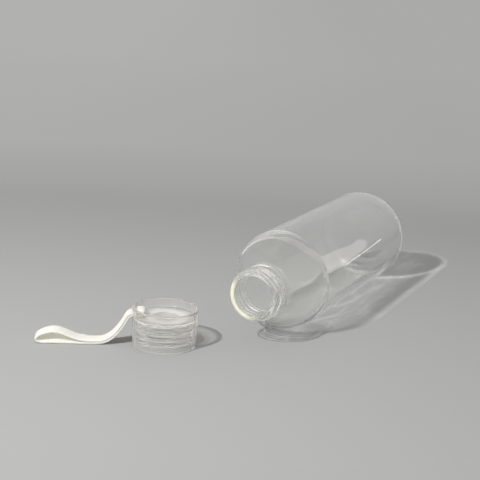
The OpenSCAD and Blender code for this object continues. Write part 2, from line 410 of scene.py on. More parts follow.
def thin_shadow(tree, shader, colour):
    """Lets some of the lamp's light through to the floor, as milky rubber and cloth do."""
    path = add(tree, "ShaderNodeLightPath").outputs
    passed = add(tree, "ShaderNodeBsdfTransparent", {"Color": srgb(colour)})
    show(tree, add(tree, "ShaderNodeMixShader", {0: path["Is Shadow Ray"], 1: shader, 2: passed}))


def painted_lip_highlight(tree, from_lip, along, radius):
    """The painted highlight: a share of light scattered in the lip, set on a fixed side of it and not moved by the
    lamp.
    """
    lit_way = add(tree, "ShaderNodeVectorMath", {0: from_lip, 1: LIT_WAY}, operation="DOT_PRODUCT")
    side = add(tree, "ShaderNodeMapRange", {"Value": lit_way, **LIT_SIDE})
    ring = add(tree, "ShaderNodeMapRange", {"Value": radius, **LIT_RING})
    front = add(tree, "ShaderNodeMapRange", {"Value": along, **LIT_FRONT})
    edge = add(tree, "ShaderNodeMath", {0: ring, 1: front}, operation="MULTIPLY")
    return add(tree, "ShaderNodeMath", {0: side, 1: edge}, operation="MULTIPLY")


def painted_caustic_streaks(tree, from_lip):
    """Painted caustics: long streaks of light in the bottle's shadow, from a stretched noise, as a gain on what
    passes.
    """
    stretched = add(tree, "ShaderNodeMapping", {"Vector": from_lip, "Scale": STREAK_SHAPE})
    ripple = add(tree, "ShaderNodeTexNoise", {"Vector": stretched, "Scale": 1 / STREAK_L, "Detail": 0.5})
    level = add(tree, "ShaderNodeMath", {0: ripple, 1: STREAK_LEVEL}, operation="SUBTRACT")
    off = add(tree, "ShaderNodeMath", {0: level}, operation="ABSOLUTE")
    return add(tree, "ShaderNodeMapRange", {"Value": off, **STREAK_LIGHT})


def painted_thread_rings(tree, along):
    """Painted dark and bright rings in the shadow of the thread, as a gain on what passes."""
    turns = add(tree, "ShaderNodeMath", {0: along, 1: 2 * math.pi / PITCH}, operation="MULTIPLY")
    ring = add(tree, "ShaderNodeMath", {0: turns}, operation="SINE")
    return add(tree, "ShaderNodeMapRange", {"Value": ring, **THREAD_LIGHT})


def painted_base_and_heel(tree, along, radius):
    """Painted shade for the base's shadow and a painted bright ring round it for the heel, as a gain on what
    passes.
    """
    base = add(tree, "ShaderNodeMapRange", {"Value": radius, **BASE_SHADE})
    heel = add(tree, "ShaderNodeMapRange", {"Value": radius, **HEEL_LIGHT})
    ends = add(tree, "ShaderNodeMath", {0: base, 1: heel}, operation="MULTIPLY")
    behind = add(tree, "ShaderNodeMapRange", {"Value": along, **HEEL_SPAN})
    return add(tree, "ShaderNodeMix", {"Factor": behind, "A": 1, "B": ends}, data_type="FLOAT")


def glass_passing(tree, from_lip, along, radius):
    """What the glass lets through to the floor at each place of the bottle, with painted light and shade set by
    place on it.
    """
    facing = add(tree, "ShaderNodeLayerWeight", {"Blend": 0.5}).outputs["Facing"]
    body = add(tree, "ShaderNodeValToRGB", {0: facing}, stops=BODY_SHADES)
    # Painted bright line along the shadow's edge, more light than passes unhindered
    gain = add(tree, "ShaderNodeMapRange", {"Value": facing, **BODY_EDGE})
    bright = add(tree, "ShaderNodeVectorMath", {0: body, "Scale": gain}, operation="SCALE")
    shoulder = add(tree, "ShaderNodeValToRGB", {0: facing}, stops=SHOULDER_SHADES)
    back = add(tree, "ShaderNodeMapRange", {"Value": along, **BODY_SPAN})
    wall = add(tree, "ShaderNodeMix", {"Factor": back, "A": shoulder, "B": bright}, data_type="RGBA")
    # Painted caustic streaks, thread rings, base shade and heel ring
    streaks = painted_caustic_streaks(tree, from_lip)
    rings = painted_thread_rings(tree, along)
    threads = add(tree, "ShaderNodeMath", {0: rings, 1: streaks}, operation="MULTIPLY")
    front = add(tree, "ShaderNodeMapRange", {"Value": along, **THREAD_SPAN})
    waves = add(tree, "ShaderNodeMix", {"Factor": front, "A": streaks, "B": threads}, data_type="FLOAT")
    ends = painted_base_and_heel(tree, along, radius)
    share = add(tree, "ShaderNodeMath", {0: ends, 1: waves}, operation="MULTIPLY")
    return add(tree, "ShaderNodeVectorMath", {0: wall, "Scale": share}, operation="SCALE")


def borosilicate_glass():
    """Blown borosilicate glass: colourless, fire-polished, with faint slow waves from the mould, and pale straw in
    its lip, with a painted highlight on one side of the lip and painted light and shade in its shadow."""
    material, tree, shader = new_material("borosilicate_glass", {
        "Base Color": srgb("#FDFDFC"), "Transmission Weight": 1, "Roughness": 0.04, "IOR": 1.474})
    place = add(tree, "ShaderNodeTexCoord").outputs["Object"]
    waves = add(tree, "ShaderNodeTexNoise", {"Vector": place, "Scale": 1 / WAVE_L, "Detail": 1})
    bump = add(tree, "ShaderNodeBump", {"Height": waves, "Strength": 0.05, "Distance": WAVE_H})
    tree.links.new(bump.outputs[0], shader.inputs["Normal"])
    from_lip = add(tree, "ShaderNodeVectorMath", {0: place, 1: LIP_CENTRE}, operation="SUBTRACT")
    along = add(tree, "ShaderNodeSeparateXYZ", {0: from_lip}).outputs["Y"]
    across = add(tree, "ShaderNodeVectorMath", {0: from_lip, 1: (1, 0, 1)}, operation="MULTIPLY")
    radius = add(tree, "ShaderNodeVectorMath", {0: across}, operation="LENGTH")
    # Painted highlight: a share of scattered light on one side of the lip, made brighter than its tint
    glow = painted_lip_highlight(tree, from_lip, along, radius)
    depth = add(tree, "ShaderNodeMapRange", {"Value": along, **TINT_SPAN})
    tint = add(tree, "ShaderNodeValToRGB", {0: depth}, stops=LIP_TINTS)
    gain = add(tree, "ShaderNodeMapRange", {"Value": glow, **LIP_GAIN})
    painted_highlight_tint = add(tree, "ShaderNodeVectorMath", {0: tint, "Scale": gain}, operation="SCALE")
    passing = glass_passing(tree, from_lip, along, radius)
    clear_wall(tree, shader, painted_highlight_tint, GLASS_RUNS, glow, passing)
    return material


def clear_copolyester():
    """Clear copolyester, injection moulded: glossy, a little denser to the eye than glass, whiter at its edges."""
    material, tree, shader = new_material("clear_copolyester", {
        "Base Color": srgb("#FEFDFC"), "Transmission Weight": 1, "Roughness": 0.03, "IOR": 1.54})
    facing = add(tree, "ShaderNodeLayerWeight", {"Blend": 0.5}).outputs["Facing"]
    walls = add(tree, "ShaderNodeValToRGB", {0: facing}, stops=PLASTIC_SHADES)
    place = add(tree, "ShaderNodeTexCoord").outputs["Object"]
    height = add(tree, "ShaderNodeSeparateXYZ", {0: place}).outputs["Z"]
    # Painted shadow: the rim's top lets less light through, drawing a dark line round the cap's shadow
    rim = add(tree, "ShaderNodeMapRange", {"Value": height, **RIM_PAINTED_SHADOW})
    passing = add(tree, "ShaderNodeVectorMath", {0: walls, "Scale": rim}, operation="SCALE")
    haze = add(tree, "ShaderNodeMapRange", {"Value": facing, **PLASTIC_HAZE})
    clear_wall(tree, shader, srgb("#FCFAF7"), PLASTIC_RUNS, haze, passing)
    return material


def white_silicone():
    """Moulded silicone: milky, soft to the light, with a dull skin."""
    material, tree, shader = new_material("white_silicone", {
        "Base Color": srgb("#FBFAF7"), "Subsurface Weight": 0.25, "Subsurface Radius": [SILICONE_DEPTH] * 3,
        "Subsurface Scale": 1, "Roughness": 0.45, "IOR": 1.41})
    thin_shadow(tree, shader, "#DADAD8")
    return material


def white_webbing():
    """Close-woven nylon webbing: a matte warm white, with fine cross ribs and a soft shadow."""
    material, tree, shader = new_material("nylon_webbing", {
        "Roughness": 0.8, "Subsurface Weight": 0.4, "Subsurface Radius": [WEBBING_DEPTH] * 3,
        "Subsurface Scale": 1, "Sheen Weight": 0.25, "Sheen Roughness": 0.4})
    along = add(tree, "ShaderNodeUVMap", uv_map="along")
    course = {"Vector": along, "Scale": 1 / (2 * math.pi * RIB_W), "Distortion": 0.4}
    wave = add(tree, "ShaderNodeTexWave", course, wave_type="BANDS", bands_direction="X")
    ribs = wave.outputs["Fac"]
    colours = {"Factor": ribs, "A": srgb("#ECE9E0"), "B": srgb("#EFECE3")}
    colour = add(tree, "ShaderNodeMix", colours, data_type="RGBA")
    bump = add(tree, "ShaderNodeBump", {"Height": ribs, "Strength": 0.2, "Distance": RIB_H})
    tree.links.new(colour.outputs["Result"], shader.inputs["Base Color"])
    tree.links.new(bump.outputs[0], shader.inputs["Normal"])
    thin_shadow(tree, shader, "#B4B4B0")
    return material


# Turned shapes

def arc(before, at, after, radius, step):
    """The points that round the corner at, between its neighbours."""
    u, v = (before - at).normalized(), (after - at).normalized()
    half = math.acos(max(-1, min(1, u.dot(v)))) / 2
    middle = at + (u + v).normalized() * radius / math.sin(half)
    p = at + u * radius / math.tan(half) - middle
    q = at + v * radius / math.tan(half) - middle
    start, turn = math.atan2(p.y, p.x), math.atan2(p.x * q.y - p.y * q.x, p.dot(q))
    count = max(3, math.ceil(abs(turn) / step))
    angles = [start + turn * i / count for i in range(count + 1)]
    return [middle + radius * Vector((math.cos(angle), math.sin(angle))) for angle in angles]


def outline(points, closed=False, step=ROUND_STEP):
    """A profile from points (radius, height) or (radius, height, rounding)."""
    corners = [Vector(p[:2]) for p in points]
    made = []
    for i, p in enumerate(points):
        inside = closed or 0 < i < len(points) - 1
        if len(p) == 3 and inside:
            made += arc(corners[i - 1], corners[i], corners[(i + 1) % len(points)], p[2], step)
        else:
            made.append(corners[i])
    return made + made[:1] if closed else made


def with_rows(points, radius):
    """The profile with close rows for a thread wherever it runs straight at that radius."""
    made = [points[0]]
    for a, b in zip(points, points[1:]):
        if abs(a.x - radius) < SAME_RADIUS and abs(b.x - radius) < SAME_RADIUS:
            count = max(1, round(abs(b.y - a.y) / THREAD_ROW))
            made += [a.lerp(b, i / count) for i in range(1, count)]
        made.append(b)
    return made


def threaded_lathe():
    """Geometry nodes that turn a profile round Z and raise a right-handed thread on the rows marked for it. The
    grid has a column for each step round and a row for each point of the profile."""
    tree = bpy.data.node_groups.new("threaded_lathe", "GeometryNodeTree")
    face = tree.interface
    face.new_socket("Profile", in_out="INPUT", socket_type="NodeSocketGeometry")
    face.new_socket("Segments", in_out="INPUT", socket_type="NodeSocketInt")
    for name in ("Pitch", "Start", "Turns", "Ridge height", "Ridge width", "Crest width", "Run-out turns",
                 "Start turn"):
        face.new_socket(name, in_out="INPUT", socket_type="NodeSocketFloat")
    face.new_socket("Material", in_out="INPUT", socket_type="NodeSocketMaterial")
    face.new_socket("Geometry", in_out="OUTPUT", socket_type="NodeSocketGeometry")
    given = tree.nodes.new("NodeGroupInput").outputs
    profile, segments, pitch = given["Profile"], given["Segments"], given["Pitch"]

    # Which point of the profile, and which step round, each vertex of the grid is
    rows = add(tree, "GeometryNodeAttributeDomainSize", {"Geometry": profile}).outputs["Point Count"]
    columns = add(tree, "ShaderNodeMath", {0: segments, 1: 1}, operation="ADD")
    grid = add(tree, "GeometryNodeMeshGrid", {"Vertices X": columns, "Vertices Y": rows})
    index = add(tree, "GeometryNodeInputIndex")
    row = add(tree, "ShaderNodeMath", {0: index, 1: rows}, operation="MODULO")
    passed_rows = add(tree, "ShaderNodeMath", {0: index, 1: rows}, operation="DIVIDE")
    column = add(tree, "ShaderNodeMath", {0: passed_rows}, operation="FLOOR")
    around = add(tree, "ShaderNodeMath", {0: column, 1: segments}, operation="DIVIDE")
    place = {"Geometry": profile, "Value": add(tree, "GeometryNodeInputPosition"), "Index": row}
    at = add(tree, "GeometryNodeSampleIndex", place, data_type="FLOAT_VECTOR")
    point = add(tree, "ShaderNodeSeparateXYZ", {0: at}).outputs
    threaded = add(tree, "GeometryNodeInputNamedAttribute", {"Name": "threaded"}, data_type="FLOAT")
    mark = {"Geometry": profile, "Value": threaded, "Index": row}
    marked = add(tree, "GeometryNodeSampleIndex", mark, data_type="FLOAT")

    # How far it is from the middle of the nearest ridge, and how far along the thread
    turned_on = add(tree, "ShaderNodeMath", {0: around, 1: given["Start turn"]}, operation="SUBTRACT")
    from_start = add(tree, "ShaderNodeMath", {0: turned_on}, operation="FRACT")
    height = add(tree, "ShaderNodeMath", {0: point["Z"], 1: given["Start"]}, operation="SUBTRACT")
    pitches = add(tree, "ShaderNodeMath", {0: height, 1: pitch}, operation="DIVIDE")
    rise = add(tree, "ShaderNodeMath", {0: pitches, 1: from_start}, operation="SUBTRACT")
    ridge = add(tree, "ShaderNodeMath", {0: rise}, operation="ROUND")
    off = add(tree, "ShaderNodeMath", {0: rise, 1: ridge}, operation="SUBTRACT")
    apart = add(tree, "ShaderNodeMath", {0: off}, operation="ABSOLUTE")
    aside = add(tree, "ShaderNodeMath", {0: apart, 1: pitch}, operation="MULTIPLY")
    along = add(tree, "ShaderNodeMath", {0: ridge, 1: from_start}, operation="ADD")
    left = add(tree, "ShaderNodeMath", {0: given["Turns"], 1: along}, operation="SUBTRACT")
    to_end = add(tree, "ShaderNodeMath", {0: along, 1: left}, operation="MINIMUM")

    # The ridge's height there, from its flank and its run-out
    half_ridge = add(tree, "ShaderNodeMath", {0: given["Ridge width"], 1: 2}, operation="DIVIDE")
    half_crest = add(tree, "ShaderNodeMath", {0: given["Crest width"], 1: 2}, operation="DIVIDE")
    slope = {"Value": aside, "From Min": half_ridge, "From Max": half_crest}
    flank = add(tree, "ShaderNodeMapRange", slope, interpolation_type="SMOOTHSTEP")
    run_out = {"Value": to_end, "From Max": given["Run-out turns"]}
    fade = add(tree, "ShaderNodeMapRange", run_out, interpolation_type="SMOOTHSTEP")
    faded = add(tree, "ShaderNodeMath", {0: flank, 1: fade}, operation="MULTIPLY")
    shape = add(tree, "ShaderNodeMath", {0: faded, 1: marked}, operation="MULTIPLY")
    raised = add(tree, "ShaderNodeMath", {0: shape, 1: given["Ridge height"]}, operation="MULTIPLY")
    radius = add(tree, "ShaderNodeMath", {0: point["X"], 1: raised}, operation="ADD")

    # Its place round the axis
    angle = add(tree, "ShaderNodeMath", {0: around, 1: 2 * math.pi}, operation="MULTIPLY")
    cosine = add(tree, "ShaderNodeMath", {0: angle}, operation="COSINE")
    sine = add(tree, "ShaderNodeMath", {0: angle}, operation="SINE")
    x = add(tree, "ShaderNodeMath", {0: radius, 1: cosine}, operation="MULTIPLY")
    y = add(tree, "ShaderNodeMath", {0: radius, 1: sine}, operation="MULTIPLY")
    spot = add(tree, "ShaderNodeCombineXYZ", {"X": x, "Y": y, "Z": point["Z"]})
    shaped = add(tree, "GeometryNodeSetPosition", {"Geometry": grid, "Position": spot})
    merged = add(tree, "GeometryNodeMergeByDistance", {"Geometry": shaped, "Distance": SAME_POINT})
    whole = add(tree, "GeometryNodeRealizeInstances", {"Geometry": merged})
    finished = add(tree, "GeometryNodeSetMaterial", {"Geometry": whole, "Material": given["Material"]})
    add(tree, "NodeGroupOutput", {"Geometry": finished})
    return tree


def finished_mesh(piece, name):
    """The piece's mesh with its modifiers applied. The piece itself is removed."""
    bpy.context.view_layer.update()
    seen = piece.evaluated_get(bpy.context.evaluated_depsgraph_get())
    made = bpy.data.meshes.new_from_object(seen)
    made.name = name
    bpy.data.objects.remove(piece)
    return made


def solid(mesh):
    """Merges doubles, turns the faces outwards and smooths all but the sharp edges."""
    work = bmesh.new()
    work.from_mesh(mesh)
    bmesh.ops.remove_doubles(work, verts=work.verts, dist=SAME_POINT)
    bmesh.ops.recalc_face_normals(work, faces=work.faces)
    work.to_mesh(mesh)
    work.free()
    mesh.shade_smooth()
    mesh.set_sharp_from_angle(angle=SHARP_EDGE)


def turned(name, points, material, place, segments=ROUND_POINTS, thread=None, thread_r=None):
    """A piece turned from its profile, with its thread on the rows at thread_r, put in its place."""
    mesh = bpy.data.meshes.new(name)
    mesh.from_pydata([(p.x, 0, p.y) for p in points], [(i, i + 1) for i in range(len(points) - 1)], [])
    if thread:
        marks = [float(abs(p.x - thread_r) < SAME_RADIUS) for p in points]
        mesh.attributes.new("threaded", "FLOAT", "POINT").data.foreach_set("value", marks)
    piece = link(name + "_profile", mesh)
    lathe = piece.modifiers.new("lathe", "NODES")
    lathe.node_group = LATHE
    sizes = {"Segments": segments, "Pitch": PITCH, "Ridge width": RIDGE_W, "Crest width": CREST_W,
             "Run-out turns": RUN_OUT_TURNS, "Material": material, **(thread or {})}
    sockets = [item for item in LATHE.interface.items_tree if item.in_out == "INPUT"]
    names = {socket.name: socket.identifier for socket in sockets}
    for socket, value in sizes.items():
        lathe[names[socket]] = value
    made = finished_mesh(piece, name)
    made.materials.clear()
    made.materials.append(material)
    made.polygons.foreach_set("material_index", [0] * len(made.polygons))
    made.transform(place)
    solid(made)
    return link(name, made)


# The bottle

def dome(radius, sphere_r, centre_s):
    """Half the line of a dome round the axis, from its top out to a radius."""
    edge = math.asin(radius / sphere_r)
    angles = [edge * i / DOME_ROWS for i in range(DOME_ROWS + 1)]
    return [(sphere_r * math.sin(angle), centre_s - sphere_r * math.cos(angle)) for angle in angles]


def bottle():
    """The bottle's wall in one closed shell, turned from the inner floor over the lip to the base's hollow."""
    cone_s = BEAD_S + BEAD_W + NECK_L
    slope = math.atan((BODY_R - NECK_R) / (SHOULDER_L - cone_s))
    skew = WALL * math.tan(slope / 2)
    bore_s = cone_s + (BORE_R - NECK_R + WALL / math.cos(slope)) / math.tan(slope)
    inner_r, flat_r = BODY_R - WALL, BODY_R - HEEL_R
    punt_r = flat_r - BEARING_W
    sphere_r = (punt_r ** 2 + PUNT_H ** 2) / (2 * PUNT_H)
    sphere_s = BOTTLE_L - PUNT_H + sphere_r
    inner_floor = dome(flat_r, sphere_r + BASE_T, sphere_s)
    points = outline([
        *inner_floor,
        (inner_r, inner_floor[-1][1], HEEL_R - WALL),
        (inner_r, SHOULDER_L + skew, SHOULDER_R - WALL),
        (BORE_R, bore_s, NECK_ROUND + WALL),
        (BORE_R, 0, LIP_R),
        (FINISH_R, 0, LIP_R),
        (FINISH_R, BEAD_S),
        (BEAD_R, BEAD_S, BEAD_ROUND),
        (BEAD_R, BEAD_S + BEAD_W, BEAD_ROUND),
        (NECK_R, BEAD_S + BEAD_W),
        (NECK_R, cone_s, NECK_ROUND),
        (BODY_R, SHOULDER_L, SHOULDER_R),
        (BODY_R, BOTTLE_L, HEEL_R),
        *dome(punt_r, sphere_r, sphere_s)[::-1],
    ])
    points = with_rows(points, FINISH_R)
    place = Matrix.Translation(LIP_CENTRE) @ Matrix.Rotation(math.radians(-90), 4, "X")
    thread = {"Start": BOTTLE_THREAD_START, "Turns": BOTTLE_TURNS, "Ridge height": RIDGE_H,
              "Start turn": BOTTLE_START_TURN}
    piece = turned("bottle", points, GLASS, place, thread=thread, thread_r=FINISH_R)
    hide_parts("bottle_glass")
    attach(piece, "bottle")


# The cap and its seal

def slot_cutter():
    """A block with rounded edges, where the strap passes the rim."""
    work = bmesh.new()
    bmesh.ops.create_cube(work, size=1)
    bmesh.ops.bevel(work, geom=work.edges, offset=SLOT_ROUND_SHARE, segments=3, affect="EDGES")
    bmesh.ops.scale(work, vec=(SLOT_CUT, SLOT_W, SLOT_H), verts=work.verts)
    middle = (RECESS_R + SLOT_CUT / 4, 0, RECESS_Z + SLOT_H / 2)
    bmesh.ops.translate(work, vec=middle, verts=work.verts)
    mesh = bpy.data.meshes.new("slot")
    work.to_mesh(mesh)
    work.free()
    mesh.transform(STRAP_PLACE)
    return link("slot", mesh)


def cap():
    """The cap's clear moulding, with its inner thread and the slot for the strap."""
    plug_r = SEAL_HOLE_R - SEAL_GAP
    catch_z = SEAL_Z - SEAL_GAP
    plug_z = catch_z - CATCH_H
    points = outline([
        (0, WEB_Z),
        (plug_r - PLUG_T, WEB_Z),
        (plug_r - PLUG_T, plug_z, CATCH_W),
        (plug_r + CATCH_W, plug_z, CATCH_W),
        (plug_r + CATCH_W, catch_z),
        (plug_r, catch_z),
        (plug_r, WEB_Z),
        (SKIRT_R, WEB_Z, EDGE_R),
        (SKIRT_R, 0, EDGE_R),
        (FOOT_R, 0, EDGE_R),
        (RIM_R, CAP_H, EDGE_R),
        (RECESS_R, CAP_H, EDGE_R),
        (RECESS_R, RECESS_Z, RECESS_ROUND),
        (0, RECESS_Z),
    ])
    points = with_rows(points, SKIRT_R)
    place = Matrix.Translation(CAP_CENTRE)
    thread = {"Start": CAP_THREAD_START, "Turns": CAP_TURNS, "Ridge height": -CAP_RIDGE_H}
    uncut = turned("cap", points, CLEAR_PLASTIC, place, thread=thread, thread_r=SKIRT_R)
    slot = slot_cutter()
    cut = uncut.modifiers.new("slot", "BOOLEAN")
    cut.operation, cut.solver, cut.object = "DIFFERENCE", "EXACT", slot
    mesh = finished_mesh(uncut, "cap")
    bpy.data.objects.remove(slot)
    mesh.set_sharp_from_angle(angle=SHARP_EDGE)
    piece = link("cap", mesh)
    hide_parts("cap_shell")
    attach(piece, "cap")


def seal():
    """The silicone ring under the cap's floor, with a film of air between them."""
    top = WEB_Z - AIR_FILM
    points = outline([
        (SEAL_HOLE_R, SEAL_Z, SEAL_ROUND),
        (SEAL_R, SEAL_Z, SEAL_ROUND),
        (SEAL_R, top, SEAL_ROUND),
        (SEAL_HOLE_R, top, SEAL_ROUND),
    ], closed=True, step=SEAL_STEP)
    piece = turned("seal", points, SILICONE, Matrix.Translation(CAP_CENTRE), segments=SEAL_POINTS)
    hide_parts("seal_ring")
    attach(piece, "seal")


# The strap

def curve(a, b, c, d, count):
    """A cubic curve from a to d, with the handles b and c, without its first point."""
    made = []
    for i in range(1, count + 1):
        t = i / count
        s = 1 - t
        made.append(s ** 3 * a + 3 * s * s * t * b + 3 * s * t * t * c + t ** 3 * d)
    return made


def sideways(line, i):
    """The direction to the left of a line at its point i."""
    along = (line[min(i + 1, len(line) - 1)] - line[max(i - 1, 0)]).normalized()
    return Vector((-along.y, along.x))


def strap_pair(wall_r, lie_x, part_x):
    """The line between the two strands, from the stop through the slot and down to where they lie."""
    slot_z = RECESS_Z + SLOT_H / 2
    top = Vector((PIVOT.xy.length, slot_z))
    foot = Vector((lie_x, PAIR_T / 2))
    drop = foot - top
    first = top + DROP_SHARES * drop
    second = Vector((top.x + FOOT_SHARE * drop.x, foot.y))
    bend = Vector((wall_r - BEND_START, slot_z))
    out = Vector((top.x + BEND_OUT, slot_z))
    over = (top + first) / 2 + BEND_LIFT
    line = [Vector((STOP_R - STOP_L / 2, slot_z)), Vector((STOP_R, slot_z)), bend]
    line += curve(bend, out, over, first.lerp(top, BEND_END_SHARE), count=8)
    line += [p for p in curve(top, first, second, foot, count=20) if p.y < line[-1].y - BEND_DROP]
    return line + [Vector(((lie_x + part_x) / 2, foot.y))]


def strap_loop(part_x, crest_x, tip_x):
    """The line of the open loop, up over its crest, round its end and back along the table, and its end."""
    high, low = PAIR_T - STRAP_T / 2, STRAP_T / 2
    start = Vector((part_x, high))
    crest = Vector((crest_x, LOOP_H - STRAP_T / 2))
    end = Vector((tip_x - STRAP_T / 2, END_SHARE * LOOP_H))
    landing = Vector((end.x - LANDING_SHARE * end.y, low))
    rise, fall = crest - start, end - crest
    leave = Vector((part_x + RISE_SHARES[0] * rise.x, high))
    arrive = Vector((part_x + RISE_SHARES[1] * rise.x, crest.y))
    line = [start] + curve(start, leave, arrive, crest, count=18)
    leave = Vector((crest.x + FALL_SHARES[0] * fall.x, crest.y))
    arrive = Vector((end.x, crest.y + FALL_SHARES[1] * fall.y))
    line += curve(crest, leave, arrive, end, count=16)
    leave = Vector((end.x, TURN_SHARE * end.y))
    arrive = Vector((end.x - TURN_SHARE * end.y, low))
    line += curve(end, leave, arrive, landing, count=10)
    line += [landing.lerp(Vector((part_x, low)), i / 8) for i in range(1, 9)]
    return line, end


def strap_line():
    """The strap's centre line seen from the side, from the stop through the slot, round the loop and back, and
    how far it is tilted at each point."""
    wall_r = PIVOT.xy.length - SLOT_GAP - PAIR_T / 2
    lie_x, part_x, crest_x, tip_x = (wall_r + share * STRAP_REACH for share in REACH_SHARES)
    pair = strap_pair(wall_r, lie_x, part_x)
    loop, end = strap_loop(part_x, crest_x, tip_x)
    apart = (STRAP_T + PRESSED_GAP) / 2
    upper = [p + apart * sideways(pair, i) for i, p in enumerate(pair)]
    lower = [p - apart * sideways(pair, i) for i, p in enumerate(pair)]
    line = upper + loop + lower[::-1]
    tilts = []
    for p in line:
        open_share = max(0, (p.x - part_x) / (tip_x - part_x))
        most = LOWER_TILT if p.y < end.y else UPPER_TILT
        tilts.append(most * math.sin(math.pi * open_share ** TILT_POWER))
    return line, tilts


def webbing_section():
    """The webbing's section, flat with round edges, as places across and through it."""
    section = []
    for i in range(SECTION_POINTS):
        angle = 2 * math.pi * i / SECTION_POINTS
        x, y = math.cos(angle), math.sin(angle)
        across = math.copysign(abs(x) ** EDGE_POWER, x) * STRAP_W / 2
        through = math.copysign(abs(y) ** FACE_POWER, y) * STRAP_T / 2
        section.append((across, through))
    return section


def ribbon(line, tilts):
    """Webbing swept along a line, with a map of its length and width. Where it is tilted, its near edge keeps
    its height and its far edge comes up."""
    section = webbing_section()
    work = bmesh.new()
    uv = work.loops.layers.uv.new("along")
    rings, lengths = [], []
    for i, p in enumerate(line):
        left = sideways(line, i)
        slant = math.sin(tilts[i])
        ring = []
        for across, through in section:
            rise = (STRAP_W / 2 - across) * slant
            ring.append(work.verts.new((p.x + left.x * through, across, p.y + left.y * through + rise)))
        rings.append(ring)
        lengths.append(lengths[-1] + (p - line[i - 1]).length if i else 0)
    for i in range(len(rings) - 1):
        for k in range(len(section)):
            n = (k + 1) % len(section)
            corners = ((i, k), (i, n), (i + 1, n), (i + 1, k))
            face = work.faces.new([rings[row][column] for row, column in corners])
            for corner, (row, column) in zip(face.loops, corners):
                corner[uv].uv = (lengths[row], section[column][0])
    work.faces.new(rings[0])
    work.faces.new(rings[-1][::-1])
    return work


def beside_cap(work, name):
    """The worked shape as a piece of white webbing, turned and put where the strap leaves the cap."""
    bmesh.ops.recalc_face_normals(work, faces=work.faces)
    mesh = bpy.data.meshes.new(name)
    work.to_mesh(mesh)
    work.free()
    mesh.materials.append(WEBBING)
    mesh.transform(STRAP_PLACE)
    mesh.shade_smooth()
    return link(name, mesh)


def strap():
    """One length of webbing: both ends in the stop, doubled through the slot and down, then open in a loop."""
    piece = beside_cap(ribbon(*strap_line()), "strap")
    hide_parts("strap_loop", "strap_tails")
    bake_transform(piece)


def stop_ring(work, z, inset):
    """One level of the stop, drawn in from its sides. Its outer face follows the wall of the recess."""
    half_w, inner, outer = STRAP_W / 2 - inset, STOP_R - STOP_L + inset, STOP_R - inset
    ring = []
    for sign_x, sign_y, quarter in ((1, 1, 0), (-1, 1, 1), (-1, -1, 2), (1, -1, 3)):
        edge = outer if sign_x > 0 else inner
        for i in range(STOP_CORNER_STEPS + 1):
            angle = math.pi / 2 * (quarter + i / STOP_CORNER_STEPS)
            x = edge - sign_x * STOP_CORNER + STOP_CORNER * math.cos(angle)
            y = sign_y * (half_w - STOP_CORNER) + STOP_CORNER * math.sin(angle)
            if sign_x > 0:
                x -= outer - math.sqrt(outer ** 2 - y * y)
            ring.append(work.verts.new((x, y, RECESS_Z + AIR_FILM + z)))
    return ring


def stop():
    """The block that holds the strap's ends, with soft edges, on a film of air over the recess's floor."""
    round_z = STOP_H - AIR_FILM - STOP_ROUND
    levels = [(0, STOP_FOOT_W), (STOP_FOOT_H, 0)]
    for i in range(STOP_ROUND_STEPS + 1):
        angle = math.pi / 2 * i / STOP_ROUND_STEPS
        levels.append((round_z + STOP_ROUND * math.sin(angle), STOP_ROUND * (1 - math.cos(angle))))
    work = bmesh.new()
    rows = [stop_ring(work, z, inset) for z, inset in levels]
    for low, high in zip(rows, rows[1:]):
        for k in range(len(low)):
            n = (k + 1) % len(low)
            work.faces.new((low[k], low[n], high[n], high[k]))
    work.faces.new(rows[0][::-1])
    work.faces.new(rows[-1])
    piece = beside_cap(work, "strap_block")
    piece.data.uv_layers.new(name="along")
    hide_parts("strap_stop")
    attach(piece, "cap")


# The stage

def floor():
    """A flat pale grey paper floor, matte, with painted shade: tones by depth and side, lighter to the front left.
    The lamp lights it near the pieces.
    """
    material, tree, shader = new_material("grey_paper", {"Roughness": 0.9, "Specular IOR Level": 0.1})
    place = add(tree, "ShaderNodeTexCoord").outputs["Object"]
    turned_place = add(tree, "ShaderNodeMapping", {"Vector": place, "Rotation": (0, 0, FLOOR_TURN)})
    away = add(tree, "ShaderNodeSeparateXYZ", {0: turned_place}).outputs
    depth = add(tree, "ShaderNodeMapRange", {"Value": away["Y"], **DEPTH_SPAN})
    side = add(tree, "ShaderNodeMapRange", {"Value": away["X"], **SIDE_SPAN})
    near = add(tree, "ShaderNodeValToRGB", {0: depth}, stops=NEAR_TONES)
    far = add(tree, "ShaderNodeValToRGB", {0: depth}, stops=FAR_TONES)
    tone = add(tree, "ShaderNodeValToRGB", {0: side}, stops=SIDE_TONES)
    # Painted shade: the paper's colour is made lighter and darker by depth and side
    paper, even = (add(tree, "ShaderNodeMix", {"Factor": 1, "A": tones, "B": tone}, data_type="RGBA",
                       blend_type="MULTIPLY") for tones in (near, far))
    tree.links.new(paper.outputs["Result"], shader.inputs["Base Color"])
    glow = add(tree, "ShaderNodeEmission", {"Color": even})
    back, front = (add(tree, "ShaderNodeMapRange", {"Value": away["Y"], **span},
                       interpolation_type="SMOOTHSTEP") for span in (BACK_SPAN, FRONT_SPAN))
    outside = add(tree, "ShaderNodeMath", {0: back, 1: front}, operation="MAXIMUM")
    show(tree, add(tree, "ShaderNodeMixShader", {0: outside, 1: shader, 2: glow}))
    material.cycles.emission_sampling = "NONE"
    mesh = bpy.data.meshes.new("floor")
    corners = [(x * FLOOR_HALF, y * FLOOR_HALF, 0) for x, y in ((-1, -1), (1, -1), (1, 1), (-1, 1))]
    mesh.from_pydata(corners, [], [(0, 1, 2, 3)])
    mesh.materials.append(material)
    piece = link("floor", mesh)
    piece.location.z = -FLOOR_DROP


